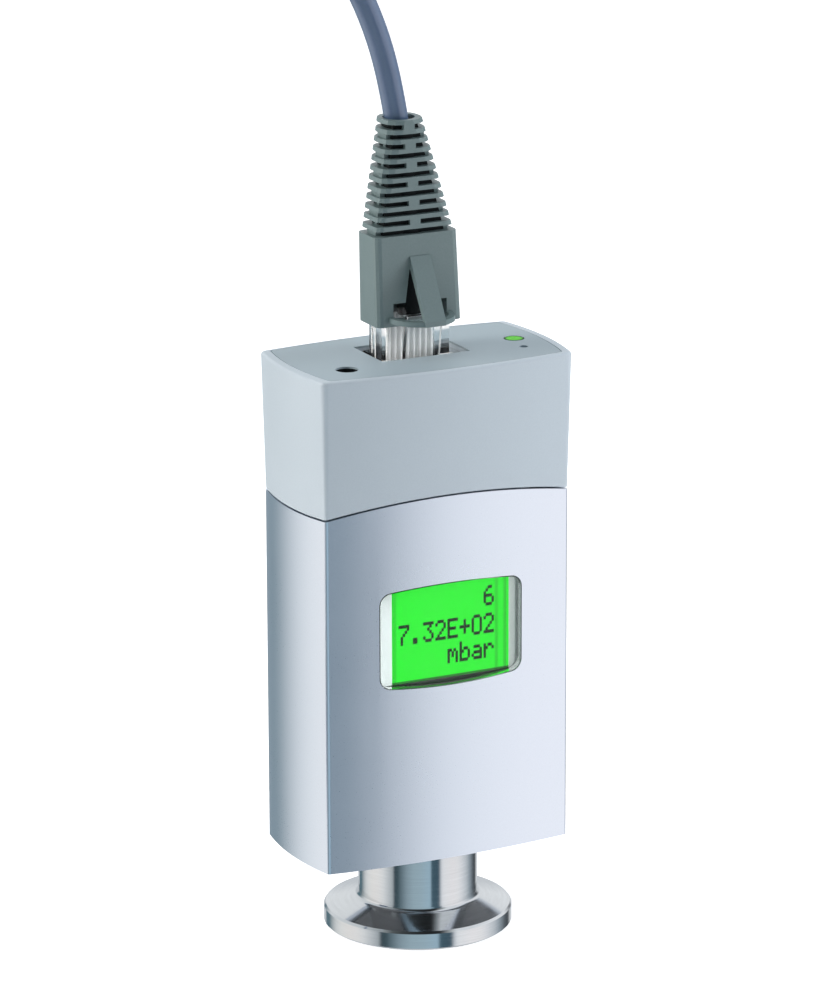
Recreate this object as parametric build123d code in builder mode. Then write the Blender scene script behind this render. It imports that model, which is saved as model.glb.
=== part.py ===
"""Compact digital vacuum gauge on a small flange, with its plugged-in cable.

Millimetres. The origin is the centre of the flange's sealing face, which the gauge stands on. +Z runs up
the sensor tube, and the display looks along -Y.
"""

import os
from math import atan, degrees, radians, sin, tan

from build123d import *

# Small flange and sensor tube
flange_d = 30.0
flange_rim = 3.0
flange_angle = 15.0
rim_chamfer = 0.3
neck_d = 19.0
bore_d = 16.0
recess_d = 17.2
recess_depth = 2.6
tube_top = 23.5
header_thickness = 2.0
header_lip = 0.3
tube_wall = 0.45
thread_d = bore_d + 2 * (header_lip + tube_wall)
neck_fillet = 0.8
pin_d = 0.6
pin_circle_d = 9.0
pin_count = 4
pin_tip_z = 13.0
pin_past_board = 0.5
seal_d = 1.8
filament_d = 0.3
filament_past_pin = 0.3

# Body section: four shallow arcs between four corners
corner_w = 42.0
corner_d = 21.8
bulge_front = 1.5
bulge_side = 1.2
body_corner_r = 0.6

# Sleeve
sleeve_bottom = 14.2
sleeve_wall = 1.8
shoulder_z = 71.3
arch_rise = 2.0

# Base plate and screws
plate_inset = 1.0
plate_thickness = 3.0
nut_height = 2.5
nut_wall = 1.4
nut_slot = 2.0
screw_d = 2.0
screw_head_d = 3.5
screw_head_h = 1.5
screw_socket = 1.5
screw_x = 17.4
front_screw_y = -7.2
rear_screw_y = 7.2
port_wall = 0.9
front_screw_grip = 8.0
rear_screw_grip = 7.0

# Cap
cap_height = 22.2
cap_top = shoulder_z + cap_height
cap_draft = 0.6
cap_step = -0.05
cap_wall = 1.6
cap_roof = 1.8
cap_edge_r = 0.5
seam_gap = 0.3
tongue_w = 30.0
tongue_drop = 3.0
tongue_thickness = 1.2
stop_rib = 1.4
stop_x = 18.6
stop_y = -8.2
overlay_thickness = 0.3
overlay_side_margin = 1.5
overlay_front_margin = 0.75
overlay_gap = 0.12

# Display
window_w = 24.8
window_low = 43.4
window_high = 58.7
window_bow = 0.7
window_corner_r = 2.0
window_flange = 1.2
window_back = 9.7
lcd_w = 20.2
lcd_h = 15.4
lcd_thickness = 2.0
lcd_frame_wall = 3.3
lcd_frame_edge = 1.4
lcd_shift = 0.7

# Circuit boards
board_thickness = 1.6
main_board_y = -5.2
main_board_margin = 1.4
main_board_bottom = 30.0
rail_depth = 1.2
sensor_board_d = 18.0
sensor_board_z = 26.5
connector_board_z = cap_top - 14.2
connector_board_inset = 2.3
link_w = 12.7
link_depth = 2.5
link_top = 36.0
chip_size = 10.0
chip_thickness = 1.4
chip_z = 52.0
capacitor_d = 6.3
capacitor_length = 7.5
capacitor_z = 66.0
capacitor_spacing = 18.0

# Top side: modular socket, service jack, status light, adjust switch
socket_y = 1.5
opening_w = 15.2
opening_d = 10.4
socket_w = 14.4
socket_front = -4.6
socket_back = 8.2
socket_top = cap_top - 1.2
shield_thickness = 0.3
socket_floor = 1.3
jack_x = -14.6
jack_y = -5.5
jack_hole_d = 3.6
jack_body = 6.4
jack_top = cap_top - 2.0
jack_sleeve_wall = 0.6
jack_sleeve_bottom = cap_top - 10.5
light_x = 17.3
light_y = 0.3
light_d = 3.0
light_flange_d = 4.4
light_flange_h = 1.3
led_size = 1.6
led_height = 0.8
adjust_x = 16.2
adjust_y = -5.0
adjust_hole_d = 1.4
switch_size = 4.5
switch_height = 3.5
switch_floor = 0.6
switch_cover = 0.4
dome_d = 3.0
dome_height = 0.5
dome_thickness = 0.12
plunger_d = 2.4
plunger_flange_d = 3.4
plunger_top = cap_top - 2.3

# Plug on the cable
plug_w = 11.7
plug_front = 0.2
plug_depth = 6.5
plug_tail_depth = 4.4
plug_nose_z = cap_top - 11.1
plug_step_z = cap_top - 0.7
plug_tail_z = cap_top + 8.5
blade_pitch = 1.02
blade_count = 8
blade_thickness = 0.35
blade_low = cap_top - 10.3
blade_high = cap_top - 6.3
blade_depth = 2.2
wire_d = 0.9
wire_low = cap_top - 9.5
latch_w = 6.0
latch_thickness = 0.9
latch_root_z = cap_top - 9.9
latch_end_z = cap_top + 6.5
latch_lean = 3.0
latch_notch_w = 6.6

# Boot over the plug
boot_w = 14.6
boot_d = 7.0
boot_y = 2.0
shoulder_w = 14.2
shoulder_d = 6.6
shoulder_lean_share = 0.26
boot_bottom = cap_top + 4.7
boot_shoulder = cap_top + 18.9
boot_tip_z = cap_top + 36.9
boot_tip_d = 6.5
boot_lean = -1.75
boot_corner_r = 1.0
boot_tip_corner_r = 2.6
slot_count = 12
slot_height = 0.8
slot_pitch = 1.5
side_web = 3.0
front_web = 1.8
web_inset = 0.6
rib_inset = 0.3
rib_wall = 1.5
rib_hollow_d = 4.2
spine_thickness = 0.8
spine_inset = 1.2
boot_bore_d = 5.0
bore_lean = -1.9
hood_w = 3.5
hood_reach = 5.4
hood_top = cap_top + 15.5
hood_thickness = 1.0
hoop_half_w = 5.4
hoop_bottom = cap_top + 5.4
hoop_height = 0.8
cutout_bottom = cap_top + 5.6
cutout_shoulder = cap_top + 8.3
cutout_top = cap_top + 14.7
cutout_top_w = 3.2
cutout_step_w = 5.0
cutout_bottom_w = 9.2

# Cable, and the hank that its put-away length is folded into
cable_d = 3.75
cable_start_z = cap_top + 6.0
hank_end_x = -84.0
hank_length = 58.0
hank_y = 3.0
hank_fold_r = 11.5
hank_columns = 2
hank_rows = 7
hank_row_pitch = 3.8
hank_edge = 1.4
tie_w = 7.0
tie_thickness = 0.8
far_mouth_x = -128.0
far_plug_y = -6.5

# Clearances
slide_gap = 0.05
fit_gap = 0.1
lens_gap = 0.15
bond_gap = 0.02
window_seat_gap = 0.05

hank_h = hank_rows * hank_row_pitch
plug_back = plug_front + plug_depth
far_axis_z = hank_h + slide_gap + plug_back - boot_y

lead_route = [
    (0.0, boot_y, cable_start_z),
    (0.0, boot_y, 110.5),
    (-1.1, boot_y, 121.5),
    (-2.5, 2.2, 132.5),
    (-5.0, 2.3, 143.0),
    (-9.7, 2.5, 153.5),
    (-19.0, 3.0, 164.5),
    (-33.0, 3.6, 172.0),
    (-49.0, 4.3, 172.5),
    (-63.5, 5.0, 165.5),
    (-73.5, 5.8, 152.0),
    (-79.0, 6.8, 134.5),
    (-81.5, 8.0, 113.0),
    (-82.5, 9.3, 90.0),
    (-83.5, 10.8, 68.0),
    (-86.0, 12.4, 50.0),
    (-91.0, 13.6, 37.0),
    (-98.5, 14.3, 29.0),
    (-108.0, 14.5, 25.2),
]
tail_route = [
    (far_mouth_x + 4.0, far_plug_y, far_axis_z),
    (far_mouth_x - 4.5, far_plug_y, far_axis_z),
    (-140.0, -1.5, far_axis_z - 0.8),
    (-143.4, 6.3, far_axis_z - 2.3),
    (-140.0, 14.1, far_axis_z - 4.2),
    (far_mouth_x - 4.5, 18.3, far_axis_z - 5.8),
    (-124.5, 18.3, far_axis_z - 6.6),
]

arch_radius = ((corner_w / 2) ** 2 + arch_rise**2) / (2 * arch_rise)
arch_top = shoulder_z + arch_rise
body_half_depth = corner_d / 2 + bulge_front
plate_bottom = sleeve_bottom + plate_inset
plate_top = plate_bottom + plate_thickness
window_mid = (window_low + window_high) / 2
board_top = connector_board_z + board_thickness
roof_bottom = cap_top - cap_roof
shield_top = socket_top + shield_thickness
main_board_w = corner_w - 2 * main_board_margin
rail_x = main_board_w / 2 - rail_depth
body_reach = corner_w + 2 * bulge_side
front_screws = [(-screw_x, front_screw_y), (screw_x, front_screw_y)]
rear_screws = [(-screw_x, rear_screw_y), (screw_x, rear_screw_y)]


def body_outline(grow_x, grow_y, corner):
    """The body's section, with its corners moved out by grow_x and grow_y."""
    x = corner_w / 2 + grow_x
    y = corner_d / 2 + grow_y
    with BuildSketch() as outline:
        with BuildLine():
            ThreePointArc((-x, -y), (0, -y - bulge_front), (x, -y))
            ThreePointArc((x, -y), (x + bulge_side, 0), (x, y))
            ThreePointArc((x, y), (0, y + bulge_front), (-x, y))
            ThreePointArc((-x, y), (-x - bulge_side, 0), (-x, -y))
        make_face()
        fillet(outline.vertices(), radius=corner)
    return outline.sketch


def window_outline(grow):
    """The display window's outline in the XZ plane: straight sides, bowed top and bottom."""
    x = window_w / 2 + grow
    low = window_low - grow
    high = window_high + grow
    with BuildSketch() as outline:
        with BuildLine():
            ThreePointArc((-x, low), (0, low - window_bow), (x, low))
            Line((x, low), (x, high))
            ThreePointArc((x, high), (0, high + window_bow), (-x, high))
            Line((-x, high), (-x, low))
        make_face()
        fillet(outline.vertices(), radius=window_corner_r + grow)
    return outline.sketch


def above(z):
    return Plane.XY.offset(z)


# Flange tube: flange, neck and sensor tube, turned from one bar
cone_top = flange_rim + (flange_d - neck_d) / 2 * tan(radians(flange_angle))
header_seat = tube_top - header_thickness
with BuildPart() as flange_tube:
    with BuildSketch(Plane.XZ) as section:
        with BuildLine():
            Polyline(
                (recess_d / 2, 0),
                (flange_d / 2, 0),
                (flange_d / 2, flange_rim),
                (neck_d / 2, cone_top),
                (neck_d / 2, plate_bottom),
                (thread_d / 2, plate_bottom),
                (thread_d / 2, tube_top),
                (bore_d / 2 + header_lip, tube_top),
                (bore_d / 2 + header_lip, header_seat),
                (bore_d / 2, header_seat),
                (bore_d / 2, recess_depth),
                (recess_d / 2, recess_depth),
                close=True,
            )
        make_face()
        neck_foot = section.vertices().sort_by_distance((neck_d / 2, cone_top))[0]
        fillet(neck_foot, radius=neck_fillet)
    revolve(axis=Axis.Z)
    chamfer(flange_tube.edges().filter_by(GeomType.CIRCLE).sort_by(SortBy.RADIUS)[-2:], length=rim_chamfer)

# Header: steel disc welded into the tube's top, with glass-sealed pins
with BuildPart() as sensor_header:
    with BuildSketch(above(header_seat)):
        Circle(bore_d / 2 + header_lip - bond_gap)
        with PolarLocations(pin_circle_d / 2, pin_count):
            Circle(seal_d / 2, mode=Mode.SUBTRACT)
    extrude(amount=header_thickness)

with BuildPart() as glass_seals:
    with BuildSketch(above(header_seat)):
        with PolarLocations(pin_circle_d / 2, pin_count):
            Circle(seal_d / 2 - bond_gap)
            Circle(pin_d / 2 + bond_gap, mode=Mode.SUBTRACT)
    extrude(amount=header_thickness)

with BuildPart() as header_pins:
    with BuildSketch(above(pin_tip_z)):
        with PolarLocations(pin_circle_d / 2, pin_count):
            Circle(pin_d / 2)
    extrude(amount=sensor_board_z + board_thickness + pin_past_board - pin_tip_z)

with BuildPart() as filament:
    with BuildSketch(Plane.YZ):
        with Locations((0, pin_tip_z - filament_d / 2)):
            Circle(filament_d / 2)
    extrude(amount=pin_circle_d / 2 + filament_past_pin, both=True)

# Sensor board on the pins
with BuildPart() as sensor_board:
    with BuildSketch(above(sensor_board_z)):
        Circle(sensor_board_d / 2)
        with PolarLocations(pin_circle_d / 2, pin_count):
            Circle(pin_d / 2 + bond_gap, mode=Mode.SUBTRACT)
    extrude(amount=board_thickness)

# Base plate: stops against the sleeve's rails and ports, clamped to the tube's step by the ring nut
with BuildPart() as base_plate:
    with BuildSketch(above(plate_bottom)):
        add(body_outline(-sleeve_wall - fit_gap, -sleeve_wall - fit_gap, body_corner_r))
        Circle(thread_d / 2 + slide_gap, mode=Mode.SUBTRACT)
        with Locations(*front_screws, *rear_screws):
            Circle(screw_d / 2 + fit_gap, mode=Mode.SUBTRACT)
    extrude(amount=plate_thickness)
    with BuildSketch(above(plate_bottom)):
        with Locations(*front_screws, *rear_screws):
            Circle(screw_head_d / 2 + fit_gap)
    extrude(amount=screw_head_h + fit_gap, mode=Mode.SUBTRACT)

with BuildPart() as lock_nut:
    with BuildSketch(above(plate_top)):
        Circle(thread_d / 2 + slide_gap + nut_wall)
        Circle(thread_d / 2 + slide_gap, mode=Mode.SUBTRACT)
    extrude(amount=nut_height)
    with BuildSketch(above(plate_top + nut_height / 2)):
        with PolarLocations(thread_d / 2 + nut_wall, 4):
            Rectangle(2 * nut_wall, nut_slot)
    extrude(amount=nut_height / 2, mode=Mode.SUBTRACT)

# Screws: cap heads sunk in the base plate
head_seat = plate_bottom + screw_head_h + fit_gap


def screw_set(places, end_z):
    """Socket-head screws at places, from the base plate's underside up to end_z."""
    with BuildPart() as screws:
        with BuildSketch(above(head_seat - screw_head_h)):
            with Locations(*places):
                Circle(screw_head_d / 2)
        extrude(amount=screw_head_h)
        with BuildSketch(above(head_seat)):
            with Locations(*places):
                Circle(screw_d / 2)
        extrude(amount=end_z - head_seat)
        with BuildSketch(above(head_seat - screw_head_h)):
            with Locations(*places):
                RegularPolygon(screw_socket / 2, 6, major_radius=False)
        extrude(amount=screw_head_h / 2, mode=Mode.SUBTRACT)
    return screws.part


with BuildPart() as base_screws:
    add(screw_set(front_screws, plate_top + front_screw_grip))

with BuildPart() as tie_screws:
    add(screw_set(rear_screws, board_top + rear_screw_grip))

# Sleeve: one extrusion with board rails and screw ports, cut to an arch at the top and milled for the window
with BuildPart() as housing_sleeve:
    with BuildSketch(above(sleeve_bottom)):
        add(body_outline(0, 0, body_corner_r))
        add(body_outline(-sleeve_wall, -sleeve_wall, body_corner_r), mode=Mode.SUBTRACT)
    extrude(amount=arch_top - sleeve_bottom)
    with BuildSketch(above(plate_top)):
        with Locations((0, main_board_y + board_thickness / 2)):
            Rectangle(body_reach, board_thickness + 2 * rail_depth)
            Rectangle(2 * rail_x, board_thickness + 2 * rail_depth, mode=Mode.SUBTRACT)
        with Locations(*front_screws):
            Circle(screw_d / 2 + port_wall)
        add(body_outline(-sleeve_wall / 2, -sleeve_wall / 2, body_corner_r), mode=Mode.INTERSECT)
        with Locations((0, main_board_y + board_thickness / 2)):
            Rectangle(main_board_w + 2 * fit_gap, board_thickness + fit_gap, mode=Mode.SUBTRACT)
        with Locations(*front_screws):
            Circle(screw_d / 2 + slide_gap, mode=Mode.SUBTRACT)
    extrude(amount=arch_top - plate_top)
    with BuildSketch(Plane.XZ):
        with Locations((0, arch_top - arch_radius)):
            Circle(arch_radius)
    extrude(amount=corner_d, both=True, mode=Mode.INTERSECT)
    with BuildSketch(Plane.XZ.offset(window_back)):
        add(window_outline(0))
    extrude(amount=body_half_depth - window_back + 1, mode=Mode.SUBTRACT)

# Window: clear moulding, flush with the sleeve, its flange bonded behind the sleeve's wall
with BuildPart() as window_rim:
    with BuildSketch(Plane.XZ.offset(window_back)):
        add(window_outline(window_flange))
    extrude(amount=body_half_depth)
    with BuildSketch(above(window_low - window_flange - window_bow)):
        add(body_outline(-sleeve_wall - window_seat_gap, -sleeve_wall - window_seat_gap, body_corner_r))
    extrude(amount=window_high - window_low + 2 * window_flange + 2 * window_bow, mode=Mode.INTERSECT)

with BuildPart() as display_window:
    with BuildSketch(Plane.XZ.offset(window_back)):
        add(window_outline(-lens_gap))
    extrude(amount=body_half_depth)
    with BuildSketch(above(window_low - window_bow)):
        add(body_outline(0, 0, body_corner_r))
    extrude(amount=window_high - window_low + 2 * window_bow, mode=Mode.INTERSECT)
    add(window_rim.part)

# Display behind the window, in its frame on the main board
frame_front = window_back - fit_gap
board_face = -main_board_y
with BuildPart() as display_frame:
    with BuildSketch(Plane.XZ.offset(board_face)):
        with Locations((0, window_mid)):
            Rectangle(lcd_w + 2 * lcd_frame_wall, lcd_h + 2 * lcd_frame_edge)
        with Locations((lcd_shift, window_mid)):
            Rectangle(lcd_w + 2 * slide_gap, lcd_h + 2 * slide_gap, mode=Mode.SUBTRACT)
    extrude(amount=frame_front - board_face)

with BuildPart() as lcd_backlight:
    with BuildSketch(Plane.XZ.offset(board_face)):
        with Locations((lcd_shift, window_mid)):
            Rectangle(lcd_w, lcd_h)
    extrude(amount=frame_front - lcd_thickness - board_face)

with BuildPart() as lcd_panel:
    with BuildSketch(Plane.XZ.offset(frame_front - lcd_thickness)):
        with Locations((lcd_shift, window_mid)):
            Rectangle(lcd_w, lcd_h)
    extrude(amount=lcd_thickness)

# Main board in the sleeve's rails, with what stands on its back
board_back = board_face - board_thickness
with BuildPart() as main_board:
    with BuildSketch(Plane.XZ.offset(board_back)):
        with Locations((0, (main_board_bottom + connector_board_z) / 2)):
            Rectangle(main_board_w, connector_board_z - main_board_bottom)
    extrude(amount=board_thickness)

with BuildPart() as controller_chip:
    with BuildSketch(Plane.XZ.offset(board_back - chip_thickness)):
        with Locations((0, chip_z)):
            Rectangle(chip_size, chip_size)
    extrude(amount=chip_thickness)

with BuildPart() as capacitors:
    with BuildSketch(Plane.XZ.offset(board_back - capacitor_length)):
        with Locations((0, capacitor_z)):
            with GridLocations(capacitor_spacing, 0, 2, 1):
                Circle(capacitor_d / 2)
    extrude(amount=capacitor_length)

with BuildPart() as link_header:
    with BuildSketch(above(sensor_board_z + board_thickness)):
        with Locations((0, -board_back)):
            Rectangle(link_w, link_depth, align=(Align.CENTER, Align.MIN))
    extrude(amount=link_top - sensor_board_z - board_thickness)

# Connector board under the cap, with the socket, jack, light and switch
with BuildPart() as connector_board:
    with BuildSketch(above(connector_board_z)):
        add(body_outline(-connector_board_inset, -connector_board_inset, body_corner_r))
        with Locations(*rear_screws):
            Circle(screw_d / 2 + fit_gap, mode=Mode.SUBTRACT)
    extrude(amount=board_thickness)

socket_mid = (socket_front + socket_back) / 2
socket_depth = socket_back - socket_front
plug_mid = plug_front + plug_depth / 2
socket_well = board_top + socket_floor
notch_front = socket_y - opening_d / 2 + fit_gap
contact_room = socket_back - plug_back - fit_gap - shield_thickness
contact_row = (blade_count - 1) * blade_pitch + 1.2
with BuildPart() as socket_housing:
    with BuildSketch(above(board_top)):
        with Locations((0, socket_mid)):
            Rectangle(socket_w, socket_depth)
    extrude(amount=socket_top - board_top)
    with BuildSketch(above(socket_well)):
        with Locations((0, plug_mid)):
            Rectangle(plug_w + 2 * fit_gap, plug_depth + 2 * fit_gap)
        with Locations((0, notch_front)):
            Rectangle(latch_notch_w, plug_front - notch_front, align=(Align.CENTER, Align.MIN))
        with Locations((0, plug_back)):
            Rectangle(contact_row, contact_room, align=(Align.CENTER, Align.MIN))
    extrude(amount=socket_top - socket_well, mode=Mode.SUBTRACT)
    with BuildSketch(above(board_top)):
        with Locations((0, plug_back)):
            Rectangle(contact_row, contact_room, align=(Align.CENTER, Align.MIN))
    extrude(amount=socket_floor, mode=Mode.SUBTRACT)

with BuildPart() as socket_shield:
    with BuildSketch(above(board_top)):
        with Locations((0, socket_mid)):
            Rectangle(socket_w + 2 * shield_thickness, socket_depth + 2 * shield_thickness)
            Rectangle(socket_w + 2 * bond_gap, socket_depth + 2 * bond_gap, mode=Mode.SUBTRACT)
    extrude(amount=socket_top - board_top)
    with BuildSketch(above(socket_top)):
        with Locations((0, socket_mid)):
            Rectangle(socket_w + 2 * shield_thickness, socket_depth + 2 * shield_thickness)
        with Locations((0, plug_mid)):
            Rectangle(plug_w + 4 * fit_gap, plug_depth + 4 * fit_gap, mode=Mode.SUBTRACT)
        with Locations((0, notch_front)):
            Rectangle(
                latch_notch_w,
                plug_front - notch_front,
                align=(Align.CENTER, Align.MIN),
                mode=Mode.SUBTRACT,
            )
    extrude(amount=shield_thickness)

# Contacts: each strip stands on the board and folds over towards its blade
spring_back = plug_back + contact_room - fit_gap
spring_front = spring_back - shield_thickness
spring_top = socket_top - 1.0
with BuildPart() as socket_contacts:
    with BuildSketch(Plane.YZ.offset(-(blade_count - 1) * blade_pitch / 2 - blade_thickness / 2)):
        with BuildLine():
            Polyline(
                (spring_front, board_top),
                (spring_back, board_top),
                (spring_back, spring_top),
                (spring_front, spring_top),
                (plug_back + slide_gap, blade_high),
                (plug_back + slide_gap + 0.2, blade_high),
                (spring_front, spring_top - 1.5),
                close=True,
            )
        make_face()
    extrude(amount=blade_thickness)
    first_contact = socket_contacts.part
    for index in range(1, blade_count):
        add(first_contact.moved(Location((index * blade_pitch, 0, 0))))

with BuildPart() as service_jack:
    with BuildSketch(above(board_top)):
        with Locations((jack_x, jack_y)):
            Rectangle(jack_body, jack_body)
    extrude(amount=jack_top - board_top)
    with BuildSketch(above(jack_sleeve_bottom)):
        with Locations((jack_x, jack_y)):
            Circle(jack_hole_d / 2 + jack_sleeve_wall + bond_gap)
    extrude(amount=jack_top - jack_sleeve_bottom, mode=Mode.SUBTRACT)

with BuildPart() as jack_sleeve:
    with BuildSketch(above(jack_sleeve_bottom)):
        with Locations((jack_x, jack_y)):
            Circle(jack_hole_d / 2 + jack_sleeve_wall)
            Circle(jack_hole_d / 2, mode=Mode.SUBTRACT)
    extrude(amount=jack_top - jack_sleeve_bottom)

with BuildPart() as status_led:
    with BuildSketch(above(board_top)):
        with Locations((light_x, light_y)):
            Rectangle(led_size, led_size)
    extrude(amount=led_height)

with BuildPart() as light_pipe:
    with BuildSketch(above(roof_bottom - slide_gap)):
        with Locations((light_x, light_y)):
            Circle(light_flange_d / 2)
    extrude(amount=-light_flange_h)
    with BuildSketch(above(board_top + led_height)):
        with Locations((light_x, light_y)):
            Circle(light_d / 2)
    extrude(amount=cap_top - board_top - led_height)

# Adjust switch: the plunger's flange is held under the cover, on the snap dome
dome_low = board_top + switch_floor
plunger_low = dome_low + dome_height
cover_low = board_top + switch_height - switch_cover
with BuildPart() as adjust_switch:
    with BuildSketch(above(board_top)):
        with Locations((adjust_x, adjust_y)):
            Rectangle(switch_size, switch_size)
    extrude(amount=switch_height)
    with BuildSketch(above(dome_low)):
        with Locations((adjust_x, adjust_y)):
            Circle(plunger_flange_d / 2 + slide_gap)
    extrude(amount=cover_low - dome_low, mode=Mode.SUBTRACT)
    with BuildSketch(above(cover_low)):
        with Locations((adjust_x, adjust_y)):
            Circle(plunger_d / 2 + slide_gap)
    extrude(amount=switch_cover, mode=Mode.SUBTRACT)

dome_radius = (dome_d**2 / 4 + dome_height**2) / (2 * dome_height)
with BuildPart() as switch_dome:
    with Locations((adjust_x, adjust_y, plunger_low - dome_radius)):
        Sphere(dome_radius)
        Sphere(dome_radius - dome_thickness, mode=Mode.SUBTRACT)
    with BuildSketch(above(dome_low)):
        with Locations((adjust_x, adjust_y)):
            Circle(dome_d / 2)
    extrude(amount=dome_height, mode=Mode.INTERSECT)

with BuildPart() as adjust_plunger:
    with BuildSketch(above(plunger_low)):
        with Locations((adjust_x, adjust_y)):
            Circle(plunger_flange_d / 2)
    extrude(amount=cover_low - bond_gap - plunger_low)
    with BuildSketch(above(plunger_low)):
        with Locations((adjust_x, adjust_y)):
            Circle(plunger_d / 2)
    extrude(amount=plunger_top - plunger_low)
    fillet(adjust_plunger.faces().sort_by(Axis.Z)[-1].edges(), radius=0.3)

# Cap: moulded shell with draft, its lower edge cut to the sleeve's arch
cap_start = shoulder_z - 1.0
draft_angle = degrees(atan(cap_draft / (cap_top - cap_start)))
inner_grow = cap_step - cap_wall
tongue_grow = -sleeve_wall - fit_gap
top_features = [(jack_x, jack_y, jack_hole_d), (light_x, light_y, light_d + 0.3)]
with BuildPart() as cap_tongues:
    with BuildSketch(above(shoulder_z - tongue_drop)):
        add(body_outline(tongue_grow, tongue_grow, body_corner_r))
        add(
            body_outline(tongue_grow - tongue_thickness, tongue_grow - tongue_thickness, body_corner_r),
            mode=Mode.SUBTRACT,
        )
        Rectangle(tongue_w, corner_d + 4 * bulge_front, mode=Mode.INTERSECT)
    extrude(amount=connector_board_z - 1 - shoulder_z + tongue_drop)
    with BuildSketch(above(arch_top + 1)):
        add(body_outline(inner_grow + cap_wall / 2, inner_grow + cap_wall / 2, body_corner_r))
        add(
            body_outline(tongue_grow - tongue_thickness, tongue_grow - tongue_thickness, body_corner_r),
            mode=Mode.SUBTRACT,
        )
        Rectangle(tongue_w, corner_d + 4 * bulge_front, mode=Mode.INTERSECT)
    extrude(amount=connector_board_z - 2 - arch_top)

with BuildPart() as top_cap:
    with BuildSketch(above(cap_start)):
        add(body_outline(cap_step, cap_step, body_corner_r))
    extrude(amount=cap_top - cap_start, taper=-draft_angle)
    fillet(top_cap.faces().sort_by(Axis.Z)[-1].edges(), radius=cap_edge_r)
    with BuildSketch(above(cap_start)):
        add(body_outline(inner_grow, inner_grow, body_corner_r))
    extrude(amount=roof_bottom - cap_start, mode=Mode.SUBTRACT)
    with BuildSketch(Plane.XZ):
        with Locations((0, arch_top - arch_radius)):
            Circle(arch_radius + seam_gap)
    extrude(amount=corner_d, both=True, mode=Mode.SUBTRACT)
    with BuildSketch(above(board_top)):
        with Locations(*rear_screws):
            Circle(screw_d / 2 + port_wall + fit_gap)
        with Locations((-stop_x, stop_y), (stop_x, stop_y)):
            Rectangle(stop_rib, stop_rib)
        add(body_outline(inner_grow + cap_wall / 2, inner_grow + cap_wall / 2, body_corner_r), mode=Mode.INTERSECT)
    extrude(amount=roof_bottom - board_top)
    with BuildSketch(above(board_top)):
        with Locations(*rear_screws):
            Circle(screw_d / 2 + slide_gap)
    extrude(amount=rear_screw_grip + 1, mode=Mode.SUBTRACT)
    add(cap_tongues.part)
    with BuildSketch(above(roof_bottom)):
        with Locations((0, socket_mid)):
            Rectangle(socket_w + 2 * shield_thickness + 2 * fit_gap, socket_depth + 2 * shield_thickness + 2 * fit_gap)
    extrude(amount=shield_top + fit_gap - roof_bottom, mode=Mode.SUBTRACT)
    with BuildSketch(above(roof_bottom)):
        with Locations((0, socket_y)):
            Rectangle(opening_w, opening_d)
        for x, y, hole_d in top_features:
            with Locations((x, y)):
                Circle(hole_d / 2)
        with Locations((adjust_x, adjust_y)):
            Circle(adjust_hole_d / 2)
    extrude(amount=cap_roof, mode=Mode.SUBTRACT)
    with BuildSketch(above(cap_top - overlay_thickness)):
        add(
            body_outline(
                cap_step + cap_draft - overlay_side_margin,
                cap_step + cap_draft - overlay_front_margin,
                body_corner_r,
            )
        )
    extrude(amount=overlay_thickness, mode=Mode.SUBTRACT)

with BuildPart() as top_overlay:
    with BuildSketch(above(cap_top - overlay_thickness)):
        add(
            body_outline(
                cap_step + cap_draft - overlay_side_margin - overlay_gap,
                cap_step + cap_draft - overlay_front_margin - overlay_gap,
                body_corner_r,
            )
        )
        with Locations((0, socket_y)):
            Rectangle(opening_w, opening_d, mode=Mode.SUBTRACT)
        for x, y, hole_d in top_features:
            with Locations((x, y)):
                Circle(hole_d / 2, mode=Mode.SUBTRACT)
        with Locations((adjust_x, adjust_y)):
            Circle(adjust_hole_d / 2, mode=Mode.SUBTRACT)
    extrude(amount=overlay_thickness)

# Plug: clear body with its latch, blades and wires; made once, placed at both ends of the cable
wire_y = plug_back - blade_depth - wire_d / 2 - bond_gap
wire_row = (blade_count - 1) * blade_pitch + wire_d + 2 * fit_gap
with BuildPart() as plug_body:
    with BuildSketch(above(plug_nose_z)):
        with Locations((0, plug_front)):
            Rectangle(plug_w, plug_depth, align=(Align.CENTER, Align.MIN))
    extrude(amount=plug_step_z - plug_nose_z)
    with BuildSketch(above(plug_step_z)):
        with Locations((0, plug_front)):
            Rectangle(plug_w, plug_tail_depth, align=(Align.CENTER, Align.MIN))
    extrude(amount=plug_tail_z - plug_step_z)
    with BuildSketch(Plane.YZ.offset(-latch_w / 2)):
        with BuildLine():
            Polyline(
                (plug_front + 0.1, latch_root_z - latch_thickness),
                (plug_front + 0.1, latch_root_z),
                (plug_front - latch_lean + latch_thickness / 2, latch_end_z),
                (plug_front - latch_lean - latch_thickness / 2, latch_end_z),
                (plug_front - latch_thickness, latch_root_z - latch_thickness),
                close=True,
            )
        make_face()
    extrude(amount=latch_w)
    with BuildSketch(above(wire_low)):
        with Locations((0, wire_y)):
            Rectangle(wire_row, wire_d + 2 * bond_gap)
    extrude(amount=cable_start_z - wire_low, mode=Mode.SUBTRACT)
    with BuildSketch(above(cable_start_z)):
        with Locations((0, boot_y)):
            Circle(cable_d / 2 + bond_gap)
    extrude(amount=plug_tail_z - cable_start_z, mode=Mode.SUBTRACT)
    with BuildSketch(above(blade_low)):
        with Locations((0, plug_back - blade_depth / 2)):
            with GridLocations(blade_pitch, 0, blade_count, 1):
                Rectangle(blade_thickness + 2 * bond_gap, blade_depth)
    extrude(amount=blade_high - blade_low, mode=Mode.SUBTRACT)

with BuildPart() as plug_contacts:
    with BuildSketch(above(blade_low)):
        with Locations((0, plug_back - blade_depth / 2)):
            with GridLocations(blade_pitch, 0, blade_count, 1):
                Rectangle(blade_thickness, blade_depth)
    extrude(amount=blade_high - blade_low)

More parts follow.
